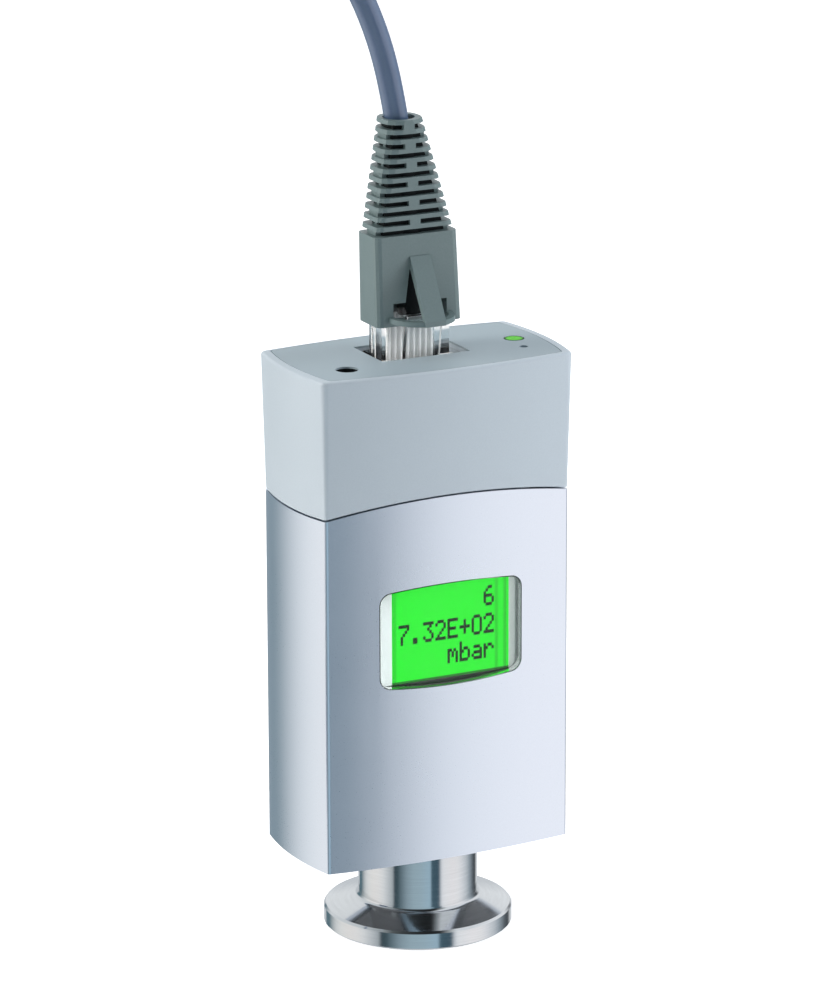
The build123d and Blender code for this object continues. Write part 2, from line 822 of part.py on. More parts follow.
with BuildPart() as plug_wires:
    with BuildSketch(above(wire_low)):
        with Locations((0, wire_y)):
            with GridLocations(blade_pitch, 0, blade_count, 1):
                Circle(wire_d / 2)
    extrude(amount=cable_start_z - wire_low)


def boot_section(width, depth, corner):
    """Outline of the boot: four flats, and three facets round each corner."""
    with BuildSketch() as outline:
        with BuildLine():
            corners = []
            for turn, (side_x, side_y) in enumerate(((1, 1), (-1, 1), (-1, -1), (1, -1))):
                middle = Vector(side_x * (width / 2 - corner), side_y * (depth / 2 - corner))
                corners += [middle + Vector(corner, 0).rotate(Axis.Z, 90 * turn + step) for step in (0, 30, 60, 90)]
            Polyline(*corners, close=True)
        make_face()
    return outline.sketch


def make_boot(lean, bore_offset):
    """Moulded boot: block round the plug's tail, hood over the latch, and slotted strain relief that leans by lean."""
    front = boot_y - boot_d / 2
    taper_h = boot_tip_z - boot_shoulder
    shoulder_lean = shoulder_lean_share * lean
    with BuildPart() as boot:
        with BuildSketch(above(boot_bottom)):
            with Locations((0, boot_y)):
                add(boot_section(boot_w, boot_d, boot_corner_r))
        with BuildSketch(above(boot_shoulder)):
            with Locations((shoulder_lean, boot_y)):
                add(boot_section(shoulder_w, shoulder_d, boot_corner_r))
        loft(ruled=True)
        rib_w = shoulder_w - 2 * rib_inset
        with BuildSketch(above(boot_shoulder)):
            with Locations((shoulder_lean, boot_y)):
                add(boot_section(rib_w, shoulder_d - 2 * rib_inset, boot_corner_r))
        with BuildSketch(above(boot_tip_z)):
            with Locations((lean, boot_y)):
                add(boot_section(boot_tip_d, boot_tip_d, boot_tip_corner_r))
        loft(ruled=True)
        # Two hollows inside the ribs, parted by a spine and closed by the last rib
        hollow_top = boot_shoulder + (slot_count - 1) * slot_pitch + slot_height
        hollow_d = (rib_hollow_d - spine_thickness) / 2
        for side in (-1, 1):
            hollow_y = boot_y + side * (rib_hollow_d - hollow_d) / 2
            with BuildSketch(above(boot_shoulder)):
                with Locations((shoulder_lean, hollow_y)):
                    Rectangle(rib_w - 2 * rib_wall, hollow_d)
            with BuildSketch(above(hollow_top)):
                with Locations((lean, hollow_y)):
                    Rectangle(rib_hollow_d, hollow_d)
            loft(ruled=True, mode=Mode.SUBTRACT)
        # Slots alternate: front and back, then left and right of the spine
        for index in range(slot_count):
            low = boot_shoulder + index * slot_pitch
            share = index * slot_pitch / taper_h
            width = rib_w + (boot_tip_d - rib_w) * share
            web = (width - 2 * web_inset, side_web) if index % 2 == 0 else (front_web, 2 * boot_d)
            with BuildSketch(above(low)):
                with Locations((shoulder_lean + (lean - shoulder_lean) * share, boot_y)):
                    Rectangle(2 * boot_w, 2 * boot_d)
                    Rectangle(*web, mode=Mode.SUBTRACT)
                    Rectangle(width - 2 * spine_inset, spine_thickness, mode=Mode.SUBTRACT)
            extrude(amount=slot_height, mode=Mode.SUBTRACT)
        bore_axis = Vector(bore_offset, 0, boot_tip_z - plug_tail_z)
        with BuildSketch(Plane(origin=(0, boot_y, plug_tail_z), z_dir=bore_axis)):
            Circle(boot_bore_d / 2)
        extrude(amount=bore_axis.length + boot_bore_d, mode=Mode.SUBTRACT)
        # Cut-out in the front wall behind the latch
        with BuildSketch(Plane.XZ.offset(-plug_front)):
            with BuildLine():
                Polyline(
                    (-cutout_bottom_w / 2, cutout_bottom),
                    (cutout_bottom_w / 2, cutout_bottom),
                    (cutout_bottom_w / 2, cutout_shoulder),
                    (cutout_step_w / 2, cutout_shoulder),
                    (cutout_top_w / 2, cutout_top),
                    (-cutout_top_w / 2, cutout_top),
                    (-cutout_step_w / 2, cutout_shoulder),
                    (-cutout_bottom_w / 2, cutout_shoulder),
                    close=True,
                )
            make_face()
        extrude(amount=boot_d, mode=Mode.SUBTRACT)
        with BuildSketch(above(boot_bottom)):
            with Locations((0, plug_front - slide_gap)):
                Rectangle(plug_w + 2 * slide_gap, plug_tail_depth + 2 * slide_gap, align=(Align.CENTER, Align.MIN))
        extrude(amount=plug_tail_z + slide_gap - boot_bottom, mode=Mode.SUBTRACT)
        # Hood strip, and the hoop that joins its lower end to the block
        with BuildSketch(Plane.YZ.offset(-hood_w / 2)):
            with BuildLine():
                Polyline(
                    (front + 0.5, hood_top),
                    (front, hood_top),
                    (front - hood_reach, hoop_bottom + hoop_height),
                    (front - hood_reach, hoop_bottom),
                    (front - hood_reach + hood_thickness, hoop_bottom),
                    (front - hood_reach + hood_thickness, hoop_bottom + hoop_height),
                    (front, hood_top - 2 * hood_thickness),
                    (front + 0.5, hood_top - 2 * hood_thickness),
                    close=True,
                )
            make_face()
        extrude(amount=hood_w)
        with BuildSketch(above(hoop_bottom)):
            with BuildLine():
                ThreePointArc((-hoop_half_w, front + 0.2), (0, front - hood_reach), (hoop_half_w, front + 0.2))
                Line((hoop_half_w, front + 0.2), (hoop_half_w - hood_thickness, front + 0.2))
                ThreePointArc(
                    (hoop_half_w - hood_thickness, front + 0.2),
                    (0, front - hood_reach + hood_thickness),
                    (hood_thickness - hoop_half_w, front + 0.2),
                )
                Line((hood_thickness - hoop_half_w, front + 0.2), (-hoop_half_w, front + 0.2))
            make_face()
        extrude(amount=hoop_height)
    return boot.part


with BuildPart() as cable_boot:
    add(make_boot(boot_lean, bore_lean))

# Cable: the lead from the plug up, over and down to the hank
def corner_radii(route):
    """The largest arc that each corner's two runs allow."""
    radii = []
    for before, here, after in zip(route, route[1:], route[2:]):
        run_in = Vector(*here) - Vector(*before)
        run_out = Vector(*after) - Vector(*here)
        half_turn = radians(run_in.get_angle(run_out)) / 2
        radii.append(0.45 * min(run_in.length, run_out.length) / tan(half_turn))
    return radii


def cable_along(route):
    """A round cable along straight runs joined by tangent arcs."""
    radii = corner_radii(route)
    with BuildPart() as cable:
        with BuildLine() as path:
            FilletPolyline(*route, radius=radii)
        centreline = path.wire()
        with BuildSketch(Plane(origin=centreline @ 0, z_dir=centreline % 0)) as section:
            Circle(cable_d / 2)
        sweep(path=centreline)
    filled = cable.part.volume / (centreline.length * section.sketch.area)
    print("cable length", round(centreline.length, 1), "volume over section times length", round(filled, 4))
    print("arc radii", [round(radius, 1) for radius in radii])
    return cable.part


with BuildPart() as cable_lead:
    add(cable_along(lead_route))

with BuildPart() as cable_tail:
    add(cable_along(tail_route))

# Hank: the outer shape of the folded turns, with a groove for the tie
hank_w = 2 * (hank_fold_r + (hank_columns - 1) * cable_d) + cable_d
hank_mid = (hank_end_x - hank_length / 2, hank_y)
with BuildPart() as cable_hank:
    with BuildSketch():
        with Locations(hank_mid):
            SlotOverall(hank_length, hank_w)
    extrude(amount=hank_h)
    chamfer(cable_hank.edges().filter_by(Plane.XY), length=hank_edge)
    with BuildSketch(Plane.YZ.offset(hank_mid[0] - tie_w / 2 - fit_gap)):
        with Locations((hank_y, hank_h / 2)):
            Rectangle(2 * hank_w, 2 * hank_h)
            Rectangle(hank_w - 2 * tie_thickness, hank_h - 2 * tie_thickness, mode=Mode.SUBTRACT)
    extrude(amount=tie_w + 2 * fit_gap, mode=Mode.SUBTRACT)

with BuildPart() as hank_tie:
    with BuildSketch(Plane.YZ.offset(hank_mid[0] - tie_w / 2)):
        with Locations((hank_y, hank_h / 2)):
            RectangleRounded(hank_w, hank_h, hank_edge)
            Rectangle(hank_w - 2 * tie_thickness, hank_h - 2 * tie_thickness, mode=Mode.SUBTRACT)
    extrude(amount=tie_w)

# Far end of the cable: the same plug and boot, lying on the hank
far_place = (
    Plane(origin=(far_mouth_x, far_plug_y, far_axis_z), x_dir=(0, 1, 0), z_dir=(-1, 0, 0)).location
    * Location((0, -boot_y, -boot_tip_z))
)
with BuildPart() as far_plug_body:
    add(plug_body.part.moved(far_place))

with BuildPart() as far_plug_contacts:
    add(plug_contacts.part.moved(far_place))

with BuildPart() as far_plug_wires:
    add(plug_wires.part.moved(far_place))

with BuildPart() as far_boot:
    add(make_boot(0, 0).moved(far_place))

pieces = {
    "flange_tube": flange_tube,
    "sensor_header": sensor_header,
    "glass_seals": glass_seals,
    "header_pins": header_pins,
    "filament": filament,
    "sensor_board": sensor_board,
    "base_plate": base_plate,
    "lock_nut": lock_nut,
    "base_screws": base_screws,
    "tie_screws": tie_screws,
    "housing_sleeve": housing_sleeve,
    "display_window": display_window,
    "display_frame": display_frame,
    "lcd_backlight": lcd_backlight,
    "lcd_panel": lcd_panel,
    "main_board": main_board,
    "controller_chip": controller_chip,
    "capacitors": capacitors,
    "link_header": link_header,
    "connector_board": connector_board,
    "socket_housing": socket_housing,
    "socket_shield": socket_shield,
    "socket_contacts": socket_contacts,
    "service_jack": service_jack,
    "jack_sleeve": jack_sleeve,
    "status_led": status_led,
    "light_pipe": light_pipe,
    "adjust_switch": adjust_switch,
    "switch_dome": switch_dome,
    "adjust_plunger": adjust_plunger,
    "top_cap": top_cap,
    "top_overlay": top_overlay,
    "plug_body": plug_body,
    "plug_contacts": plug_contacts,
    "plug_wires": plug_wires,
    "cable_boot": cable_boot,
    "cable_lead": cable_lead,
    "cable_tail": cable_tail,
    "cable_hank": cable_hank,
    "hank_tie": hank_tie,
    "far_plug_body": far_plug_body,
    "far_plug_contacts": far_plug_contacts,
    "far_plug_wires": far_plug_wires,
    "far_boot": far_boot,
}

os.makedirs("parts", exist_ok=True)
for name, piece in pieces.items():
    piece.part.label = name
    export_step(piece.part, f"parts/{name}.step")
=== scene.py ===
"""Compact digital vacuum gauge on a small polished flange, with its cable plugged in.

Metres. +Z runs up the sensor tube and the display looks along -Y, as in the CAD.
"""

from math import cos, pi, radians, sin

import bmesh
import bpy
from mathutils import Matrix, Vector


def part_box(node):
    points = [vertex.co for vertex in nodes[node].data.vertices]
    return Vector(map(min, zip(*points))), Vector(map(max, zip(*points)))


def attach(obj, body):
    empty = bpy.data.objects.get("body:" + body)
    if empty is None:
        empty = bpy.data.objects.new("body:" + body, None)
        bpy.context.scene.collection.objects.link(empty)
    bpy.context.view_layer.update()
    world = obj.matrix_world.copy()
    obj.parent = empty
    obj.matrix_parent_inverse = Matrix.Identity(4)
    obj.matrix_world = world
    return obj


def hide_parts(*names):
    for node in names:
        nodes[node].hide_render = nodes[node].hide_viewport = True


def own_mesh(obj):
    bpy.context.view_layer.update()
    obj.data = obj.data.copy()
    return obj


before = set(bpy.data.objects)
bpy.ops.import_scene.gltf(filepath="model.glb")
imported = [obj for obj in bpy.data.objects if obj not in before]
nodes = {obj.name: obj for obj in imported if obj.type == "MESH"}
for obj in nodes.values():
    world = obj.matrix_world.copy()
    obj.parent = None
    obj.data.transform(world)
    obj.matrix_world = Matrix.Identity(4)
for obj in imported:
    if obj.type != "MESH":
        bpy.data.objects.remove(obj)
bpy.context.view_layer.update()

# Camera: a long lens that looks at the gauge from the display's left, a little above the cap.
# Its place, in metres, and turns, in degrees, were fitted to the gauge's edges in the photograph.
scene = bpy.context.scene
camera_place = (-0.35603, -0.71193, 0.29530)
camera_turn, camera_fall, camera_roll = -26.569, 15.84, -0.165
camera_data = bpy.data.cameras.new("camera")
camera_data.lens = 190.36
camera_data.sensor_width = 36
camera = bpy.data.objects.new("camera", camera_data)
scene.collection.objects.link(camera)
camera.matrix_world = (
    Matrix.Translation(camera_place)
    @ Matrix.Rotation(radians(camera_turn), 4, "Z")
    @ Matrix.Rotation(radians(90 - camera_fall), 4, "X")
    @ Matrix.Rotation(radians(camera_roll), 4, "Z")
)
scene.camera = camera

# Cable: a round lead of eight wires in a blue-grey vinyl jacket, one length from plug to plug.
# It rises out of the boot, comes down beside the gauge, and its put-away length is wound
# into a hank: down an inner column, up an outer one, then over to the far plug on top.
MM = 0.001
cable_d = 3.75 * MM
# The route's points and the hank's sizes are in millimetres.
lead_route = [
    (0.0, 2.0, 99.5),
    (0.0, 2.0, 110.5),
    (-1.1, 2.0, 121.5),
    (-2.5, 2.2, 132.5),
    (-5.0, 2.3, 143.0),
    (-9.7, 2.5, 153.5),
    (-19.0, 3.0, 164.5),
    (-33.0, 3.6, 172.0),
    (-49.0, 4.3, 172.5),
    (-63.5, 5.0, 165.5),
    (-73.5, 5.8, 152.0),
    (-79.0, 6.8, 134.5),
    (-81.5, 8.0, 113.0),
    (-82.5, 9.3, 90.0),
    (-83.5, 10.8, 68.0),
    (-86.0, 12.4, 50.0),
    (-91.0, 13.6, 37.0),
    (-98.5, 14.3, 29.0),
    (-108.0, 14.5, 25.2),
]
hank_x, hank_y, hank_mid_z = -113.0, 3.0, 13.3
fold_x = 11.875
fold_points, fold_step = 8, 30
inner_r, outer_r = 11.5, 15.3
row_pitch, lowest_row = 3.8, 1.9
turn_count, inner_turns = 13, 7
tie_pull, tie_squeeze = 0.85, 0.93


def hank_fold(side, radius, z_from, z_to, radius_to):
    """Control points round one end of the hank; side is -1 at the end away from the gauge."""
    points = []
    first_angle = 75 if side < 0 else -105
    for index in range(fold_points):
        share = max(0.0, min(1.0, (index - 0.5) / (fold_points - 2)))
        angle = radians(first_angle + fold_step * index)
        reach = (radius + (radius_to - radius) * share) / cos(radians(fold_step / 2))
        points.append(
            (
                hank_x + side * fold_x + reach * cos(angle),
                hank_y + reach * sin(angle),
                z_from + (z_to - z_from) * share,
            )
        )
    return points


def under_tie(side_y, radius, z):
    """The middle of a straight run, drawn in a little by the tie."""
    y = hank_y + side_y * (radius - tie_pull)
    return (hank_x, y, hank_mid_z + (z - hank_mid_z) * tie_squeeze)


route = list(lead_route)
row, radius = inner_turns - 1, inner_r
for turn in range(turn_count):
    next_row = row
    next_radius = radius
    if turn < inner_turns - 1:
        next_row = row - 1
    elif turn == inner_turns - 1:
        next_radius = outer_r
    else:
        next_row = row + 1
    z = lowest_row + row * row_pitch
    if turn:
        route.append(under_tie(1, radius, z))
    route += hank_fold(-1, radius, z, z, radius)
    route.append(under_tie(-1, radius, z))
    route += hank_fold(1, radius, z, lowest_row + next_row * row_pitch, next_radius)
    row, radius = next_row, next_radius
far_z = 31.35
route.append(under_tie(1, radius, lowest_row + row * row_pitch))
route += [
    (-124.5, 18.3, far_z - 6.5),
    (-132.5, 18.3, far_z - 5.8),
    (-140.0, 14.1, far_z - 4.2),
    (-143.4, 6.3, far_z - 2.3),
    (-140.0, -1.5, far_z - 0.8),
    (-132.5, -6.5, far_z),
    (-124.0, -6.5, far_z),
    (-112.0, -6.5, far_z),
    (-96.5, -6.5, far_z),
]
cable_curve = bpy.data.curves.new("cable", "CURVE")
cable_curve.dimensions = "3D"
cable_curve.resolution_u = 6
cable_curve.bevel_depth = 1
cable_curve.bevel_resolution = 5
cable_curve.use_fill_caps = True
spline = cable_curve.splines.new("NURBS")
spline.points.add(len(route) - 1)
for point, place in zip(spline.points, route):
    point.co = (*(value * MM for value in place), 1)
    point.radius = cable_d / 2
spline.order_u = 3
spline.use_endpoint_u = True
cable = bpy.data.objects.new("cable", cable_curve)
scene.collection.objects.link(cable)
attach(cable, "gauge")
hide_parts("cable_lead", "cable_hank", "cable_tail")


def link_or_set(tree, socket, source):
    """Links socket to source where that is another node's output, and else writes it there."""
    if isinstance(source, bpy.types.NodeSocket):
        tree.links.new(source, socket)
    else:
        socket.default_value = source


def add_node(tree, kind, *sources, give=0, **settings):
    """Adds a shader node, feeds its sockets in order, None for none, and gives one output."""
    node = tree.nodes.new("ShaderNode" + kind)
    for name, value in settings.items():
        setattr(node, name, value)
    for socket, source in zip(node.inputs, sources):
        if source is not None:
            link_or_set(tree, socket, source)
    return node.outputs[give]


def mix_colours(tree, share, first, second):
    """A colour that is first where share is 0 and second where it is 1."""
    node = tree.nodes.new("ShaderNodeMix")
    node.data_type = "RGBA"
    for name, source in (("Factor", share), ("A", first), ("B", second)):
        link_or_set(tree, node.inputs[name], source)
    return node.outputs["Result"]


# Grain, which every finish here has: a slow change of colour and roughness, and a fine bump,
# in the piece's own coordinates. Its values are set in each material.
grain = bpy.data.node_groups.new("grain", "ShaderNodeTree")
for name, kind, usual in (
    ("Scale", "NodeSocketFloat", 2000.0),
    ("Stretch", "NodeSocketVector", (1, 1, 1)),
    ("Patch Scale", "NodeSocketFloat", 60.0),
    ("Dark", "NodeSocketColor", (0.5, 0.5, 0.5, 1)),
    ("Light", "NodeSocketColor", (0.6, 0.6, 0.6, 1)),
    ("Smoothest", "NodeSocketFloat", 0.3),
    ("Roughest", "NodeSocketFloat", 0.5),
    ("Height", "NodeSocketFloat", 0.00002),
    ("Relief", "NodeSocketFloat", 0.3),
):
    socket = grain.interface.new_socket(name, in_out="INPUT", socket_type=kind)
    socket.default_value = usual
for name, kind in (
    ("Color", "NodeSocketColor"),
    ("Roughness", "NodeSocketFloat"),
    ("Normal", "NodeSocketVector"),
):
    grain.interface.new_socket(name, in_out="OUTPUT", socket_type=kind)
given = grain.nodes.new("NodeGroupInput").outputs
own_place = add_node(grain, "TexCoord", give="Object")
stretched = add_node(grain, "VectorMath", own_place, given["Stretch"], operation="MULTIPLY")
noises = []
for place, scale, detail in ((stretched, "Scale", 3), (own_place, "Patch Scale", 4)):
    noise = grain.nodes.new("ShaderNodeTexNoise")
    noise.inputs["Detail"].default_value = detail
    grain.links.new(place, noise.inputs["Vector"])
    grain.links.new(given[scale], noise.inputs["Scale"])
    noises.append(noise.outputs["Fac"])
fine, patches = noises
spread_from, spread_to = 0.1, 0.42
both_noises = add_node(grain, "Math", fine, patches, operation="MULTIPLY")
spread = add_node(grain, "MapRange", both_noises, spread_from, spread_to)
shine = add_node(grain, "MapRange", spread, None, None, given["Smoothest"], given["Roughest"])
bump = grain.nodes.new("ShaderNodeBump")
grain.links.new(given["Relief"], bump.inputs["Strength"])
grain.links.new(given["Height"], bump.inputs["Distance"])
grain.links.new(fine, bump.inputs["Height"])
leave = grain.nodes.new("NodeGroupOutput").inputs
grain.links.new(mix_colours(grain, spread, given["Dark"], given["Light"]), leave["Color"])
grain.links.new(shine, leave["Roughness"])
grain.links.new(bump.outputs[0], leave["Normal"])


def grained(
    name, dark, light, smoothest, roughest,
    scale=2000.0, relief=0.3, height=0.00002, stretch=(1, 1, 1), patch=60.0, **sockets,
):
    """A Principled material behind the grain group; sockets are set on the shader itself."""
    mat = bpy.data.materials.new(name)
    mat.use_nodes = True
    tree = mat.node_tree
    shader = tree.nodes["Principled BSDF"]
    group = tree.nodes.new("ShaderNodeGroup")
    group.node_tree = grain
    for socket, value in (
        ("Scale", scale),
        ("Stretch", stretch),
        ("Patch Scale", patch),
        ("Dark", (*dark, 1)),
        ("Light", (*light, 1)),
        ("Smoothest", smoothest),
        ("Roughest", roughest),
        ("Height", height),
        ("Relief", relief),
    ):
        group.inputs[socket].default_value = value
    tree.links.new(group.outputs["Color"], shader.inputs["Base Color"])
    tree.links.new(group.outputs["Roughness"], shader.inputs["Roughness"])
    tree.links.new(group.outputs["Normal"], shader.inputs["Normal"])
    for socket, value in sockets.items():
        shader.inputs[socket.replace("_", " ")].default_value = value
    return mat


cable_vinyl = grained(
    "cable_vinyl", (0.080, 0.128, 0.225), (0.096, 0.146, 0.25), 0.28, 0.36,
    scale=2500, relief=0.06, patch=90,
    Specular_IOR_Level=0.9, Coat_Weight=0.35, Coat_Roughness=0.25,
)
cable_curve.materials.append(cable_vinyl)


def finish_nodes(mat, *names):
    """Gives CAD nodes one material."""
    for name in names:
        data = nodes[name].data
        if not data.materials:
            data.materials.append(mat)
        for index in range(len(data.materials)):
            data.materials[index] = mat


boot_vinyl = grained(
    "boot_vinyl", (0.135, 0.195, 0.20), (0.16, 0.22, 0.225), 0.34, 0.44,
    scale=3500, height=0.00003, patch=80, Specular_IOR_Level=0.8,
)
finish_nodes(boot_vinyl, "cable_boot", "far_boot")
# Painted shade: black cores round the cable inside the boots darken the boots' slots and cut-outs,
# where there is only shade.
painted_shade_black = grained(
    "painted_shade_black", (0.006, 0.008, 0.009), (0.010, 0.013, 0.014), 0.6, 0.7,
    scale=3000, Specular_IOR_Level=0.2,
)
grip_r, grip_top, grip_lean = 2.4, 30.4, 1.08
core_depth = 4.1
core_foot_z, core_foot_w, core_foot_lean = 12.95, 10.5, 0.26
core_top_z, core_top_w = 30.1, 4.1
square = ((-1, -1), (1, -1), (1, 1), (-1, 1))


def boot_shade_core(name, place, lean):
    """A black core in a boot, painted shade for its slots and cut-out; built up in millimetres from
    the cable's end, its top leans by lean.
    """
    build = bmesh.new()
    grip = Vector((grip_lean * lean, 0, grip_top))
    bmesh.ops.create_cone(
        build,
        cap_ends=True,
        segments=48,
        radius1=grip_r,
        radius2=grip_r,
        depth=grip.length,
        matrix=Matrix.Translation(grip / 2) @ grip.to_track_quat("Z", "Y").to_matrix().to_4x4(),
    )
    rings = []
    for shift, width, z in (
        (core_foot_lean * lean, core_foot_w, core_foot_z),
        (lean, core_top_w, core_top_z),
    ):
        ring = [(shift + x * width / 2, y * core_depth / 2, z) for x, y in square]
        rings.append([build.verts.new(corner) for corner in ring])
    foot, top = rings
    build.faces.new(list(reversed(foot)))
    build.faces.new(top)
    for index in range(4):
        after = (index + 1) % 4
        build.faces.new((foot[index], foot[after], top[after], top[index]))
    mesh = bpy.data.meshes.new(name)
    build.transform(Matrix.Scale(MM, 4))
    build.to_mesh(mesh)
    build.free()
    mesh.materials.append(painted_shade_black)
    shade_core = bpy.data.objects.new(name, mesh)
    scene.collection.objects.link(shade_core)
    shade_core.matrix_world = place
    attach(shade_core, "gauge")
    return shade_core


boot_lean = -1.75
near_end = Matrix.Translation(Vector(lead_route[0]) * MM)
far_end = (
    Matrix.Translation(Vector(route[-1]) * MM)
    @ Matrix.Rotation(radians(-90), 4, "Y")
    @ Matrix.Rotation(radians(90), 4, "Z")
)
boot_shade_cores = [boot_shade_core("boot_shade_core", near_end, boot_lean), boot_shade_core("far_boot_shade_core", far_end, 0.0)]

# Plugs: clear mouldings, one in the gauge's socket and one at the far end. Each grips the
# cable's eight pale wires, and gold-plated blades are pressed through the wires' ends.
plug_clear = grained(
    "plug_clear", (0.95, 0.98, 0.985), (0.98, 0.995, 1.0), 0.06, 0.12,
    scale=500, relief=0.03, Transmission_Weight=1.0, IOR=1.5,
)
clear_plugs = ("plug_body", "far_plug_body")
finish_nodes(plug_clear, *clear_plugs)
# Lamp light passes through them.
for name in clear_plugs:
    nodes[name].visible_shadow = False
wire_white = grained(
    "wire_white", (0.92, 0.93, 0.93), (0.96, 0.96, 0.96), 0.5, 0.6, scale=2500
)
finish_nodes(wire_white, "plug_wires", "far_plug_wires")
gold = grained(
    "gold", (0.75, 0.52, 0.20), (0.85, 0.62, 0.28), 0.2, 0.3, relief=0.1, Metallic=1.0
)
finish_nodes(gold, "plug_contacts", "far_plug_contacts")

# Tie: a woven black hook-and-loop band, wrapped round the middle of the hank so that it
# draws the turns together.
tie_fabric = grained(
    "tie_fabric", (0.015, 0.015, 0.017), (0.05, 0.05, 0.055), 0.8, 0.95,
    scale=2500, relief=0.9, height=0.0002, patch=300,
)
finish_nodes(tie_fabric, "hank_tie")

# Floor: a pale painted board under the gauge. The camera sees it as white as the backdrop,
# with the gauge's shadow left in it, and mirror rays pass it by.
floor_half = 3
floor_lift = 0.55
floor_mesh = bpy.data.meshes.new("floor")
floor_corners = [(x * floor_half, y * floor_half, 0) for x, y in square]
floor_mesh.from_pydata(floor_corners, [], [(0, 1, 2, 3)])
floor = bpy.data.objects.new("floor", floor_mesh)
scene.collection.objects.link(floor)
floor.visible_glossy = False


def feed_shader(mat, socket, source):
    """Links a node's output to a socket of the material's shader."""
    mat.node_tree.links.new(source, mat.node_tree.nodes["Principled BSDF"].inputs[socket])


floor_paint = grained(
    "floor_paint", (0.93, 0.93, 0.93), (0.95, 0.95, 0.95), 0.5, 0.6,
    scale=80, relief=0.0, Emission_Color=(1, 1, 1, 1),
)
floor_mesh.materials.append(floor_paint)
tree = floor_paint.node_tree
camera_ray = add_node(tree, "LightPath", give="Is Camera Ray")
lifted = add_node(tree, "Math", camera_ray, floor_lift, operation="MULTIPLY")
feed_shader(floor_paint, "Emission Strength", lifted)

# Studio: a white background to the camera and an even pale light to matt surfaces. Mirror
# rays see a pale tent with dark gaps in it, which give the polished steel its bands.
# Stops of the tent: azimuth in degrees, 0 in front of the display and 90 at its right; colour.
LOW_TENT = (
    (-180, (0.12, 0.20, 0.24)),
    (-166, (0.12, 0.20, 0.24)),
    (-157, (0.43, 0.48, 0.50)),
    (-147, (0.75, 0.78, 0.79)),
    (-136, (0.91, 0.92, 0.91)),
    (-122, (0.97, 0.95, 0.93)),
    (-108, (0.97, 0.96, 0.95)),
    (-97, (0.88, 0.90, 0.91)),
    (-87, (0.68, 0.72, 0.75)),
    (-76, (0.46, 0.51, 0.54)),
    (-72, (0.05, 0.08, 0.10)),
    (-66, (0.06, 0.10, 0.12)),
    (-57, (0.17, 0.24, 0.28)),
    (-47, (0.29, 0.39, 0.45)),
    (-35, (0.37, 0.50, 0.57)),
    (-20, (0.39, 0.53, 0.61)),
    (-2, (0.40, 0.57, 0.69)),
    (1, (0.07, 0.13, 0.17)),
    (15, (0.06, 0.11, 0.15)),
    (20, (0.76, 0.80, 0.85)),
    (24, (0.95, 0.97, 1.00)),
    (45, (1.00, 0.98, 1.00)),
    (58, (0.98, 0.98, 1.00)),
    (68, (0.86, 0.88, 0.92)),
    (82, (0.62, 0.67, 0.72)),
    (94, (0.34, 0.40, 0.45)),
    (108, (0.12, 0.14, 0.16)),
    (120, (0.06, 0.07, 0.08)),
    (132, (0.70, 0.73, 0.76)),
    (165, (0.60, 0.64, 0.68)),
)
HIGH_TENT = (
    (-180, (0.86, 0.89, 0.91)),
    (-110, (0.68, 0.73, 0.76)),
    (-80, (0.34, 0.38, 0.40)),
    (-66, (0.10, 0.115, 0.12)),
    (-50, (0.05, 0.058, 0.062)),
    (-12, (0.02, 0.023, 0.025)),
    (8, (0.02, 0.023, 0.025)),
    (14, (0.12, 0.13, 0.14)),
    (24, (0.42, 0.46, 0.48)),
    (33, (0.86, 0.90, 0.94)),
    (50, (0.80, 0.84, 0.88)),
    (80, (0.90, 0.93, 0.97)),
    (180, (0.86, 0.89, 0.91)),
)
low_tent_top, high_tent_foot = radians(2), radians(14)


def split_axes(tree, place):
    """The X, Y and Z of a place or a direction."""
    node = tree.nodes.new("ShaderNodeSeparateXYZ")
    tree.links.new(place, node.inputs[0])
    return node.outputs


world = bpy.data.worlds.new("studio")
scene.world = world
world.use_nodes = True
tree = world.node_tree
ambient = tree.nodes["Background"]
ambient.inputs["Color"].default_value = (0.86, 0.90, 0.95, 1)
ambient.inputs["Strength"].default_value = 0.42
ray_axes = split_axes(tree, add_node(tree, "TexCoord", give="Generated"))
forward = add_node(tree, "Math", ray_axes["Y"], -1, operation="MULTIPLY")
azimuth = add_node(tree, "Math", ray_axes["X"], forward, operation="ARCTAN2")
round_share = add_node(tree, "MapRange", azimuth, -pi, pi)
tent_rings = []
for stops in (LOW_TENT, HIGH_TENT):
    ramp = tree.nodes.new("ShaderNodeValToRGB")
    tree.links.new(round_share, ramp.inputs["Fac"])
    while len(ramp.color_ramp.elements) < len(stops):
        ramp.color_ramp.elements.new(1)
    for stop, (degrees_round, colour) in zip(ramp.color_ramp.elements, stops):
        stop.position = (degrees_round + 180) / 360
        stop.color = (*colour, 1)
    tent_rings.append(ramp.outputs["Color"])
raised = add_node(tree, "MapRange", ray_axes["Z"], sin(low_tent_top), sin(high_tent_foot))
mirrored = add_node(tree, "Background", mix_colours(tree, raised, *tent_rings))
white = add_node(tree, "Background", (1, 1, 1, 1))
rays = tree.nodes.new("ShaderNodeLightPath").outputs
straight_look = add_node(
    tree, "Math", rays["Is Camera Ray"], rays["Is Transmission Ray"], operation="MAXIMUM"
)
surroundings = add_node(tree, "MixShader", rays["Is Glossy Ray"], ambient.outputs[0], mirrored)
backdrop = add_node(tree, "MixShader", straight_look, surroundings, white)
tree.links.new(backdrop, tree.nodes["World Output"].inputs["Surface"])

# Lamps: a square soft light at each side and a weak one on top, which light the gauge at a
# plain level. Mirror rays don't see them, so the tent alone shows in the steel.
lamp_w = 0.5
lamp_aim = Vector((0, 0, 0.06))


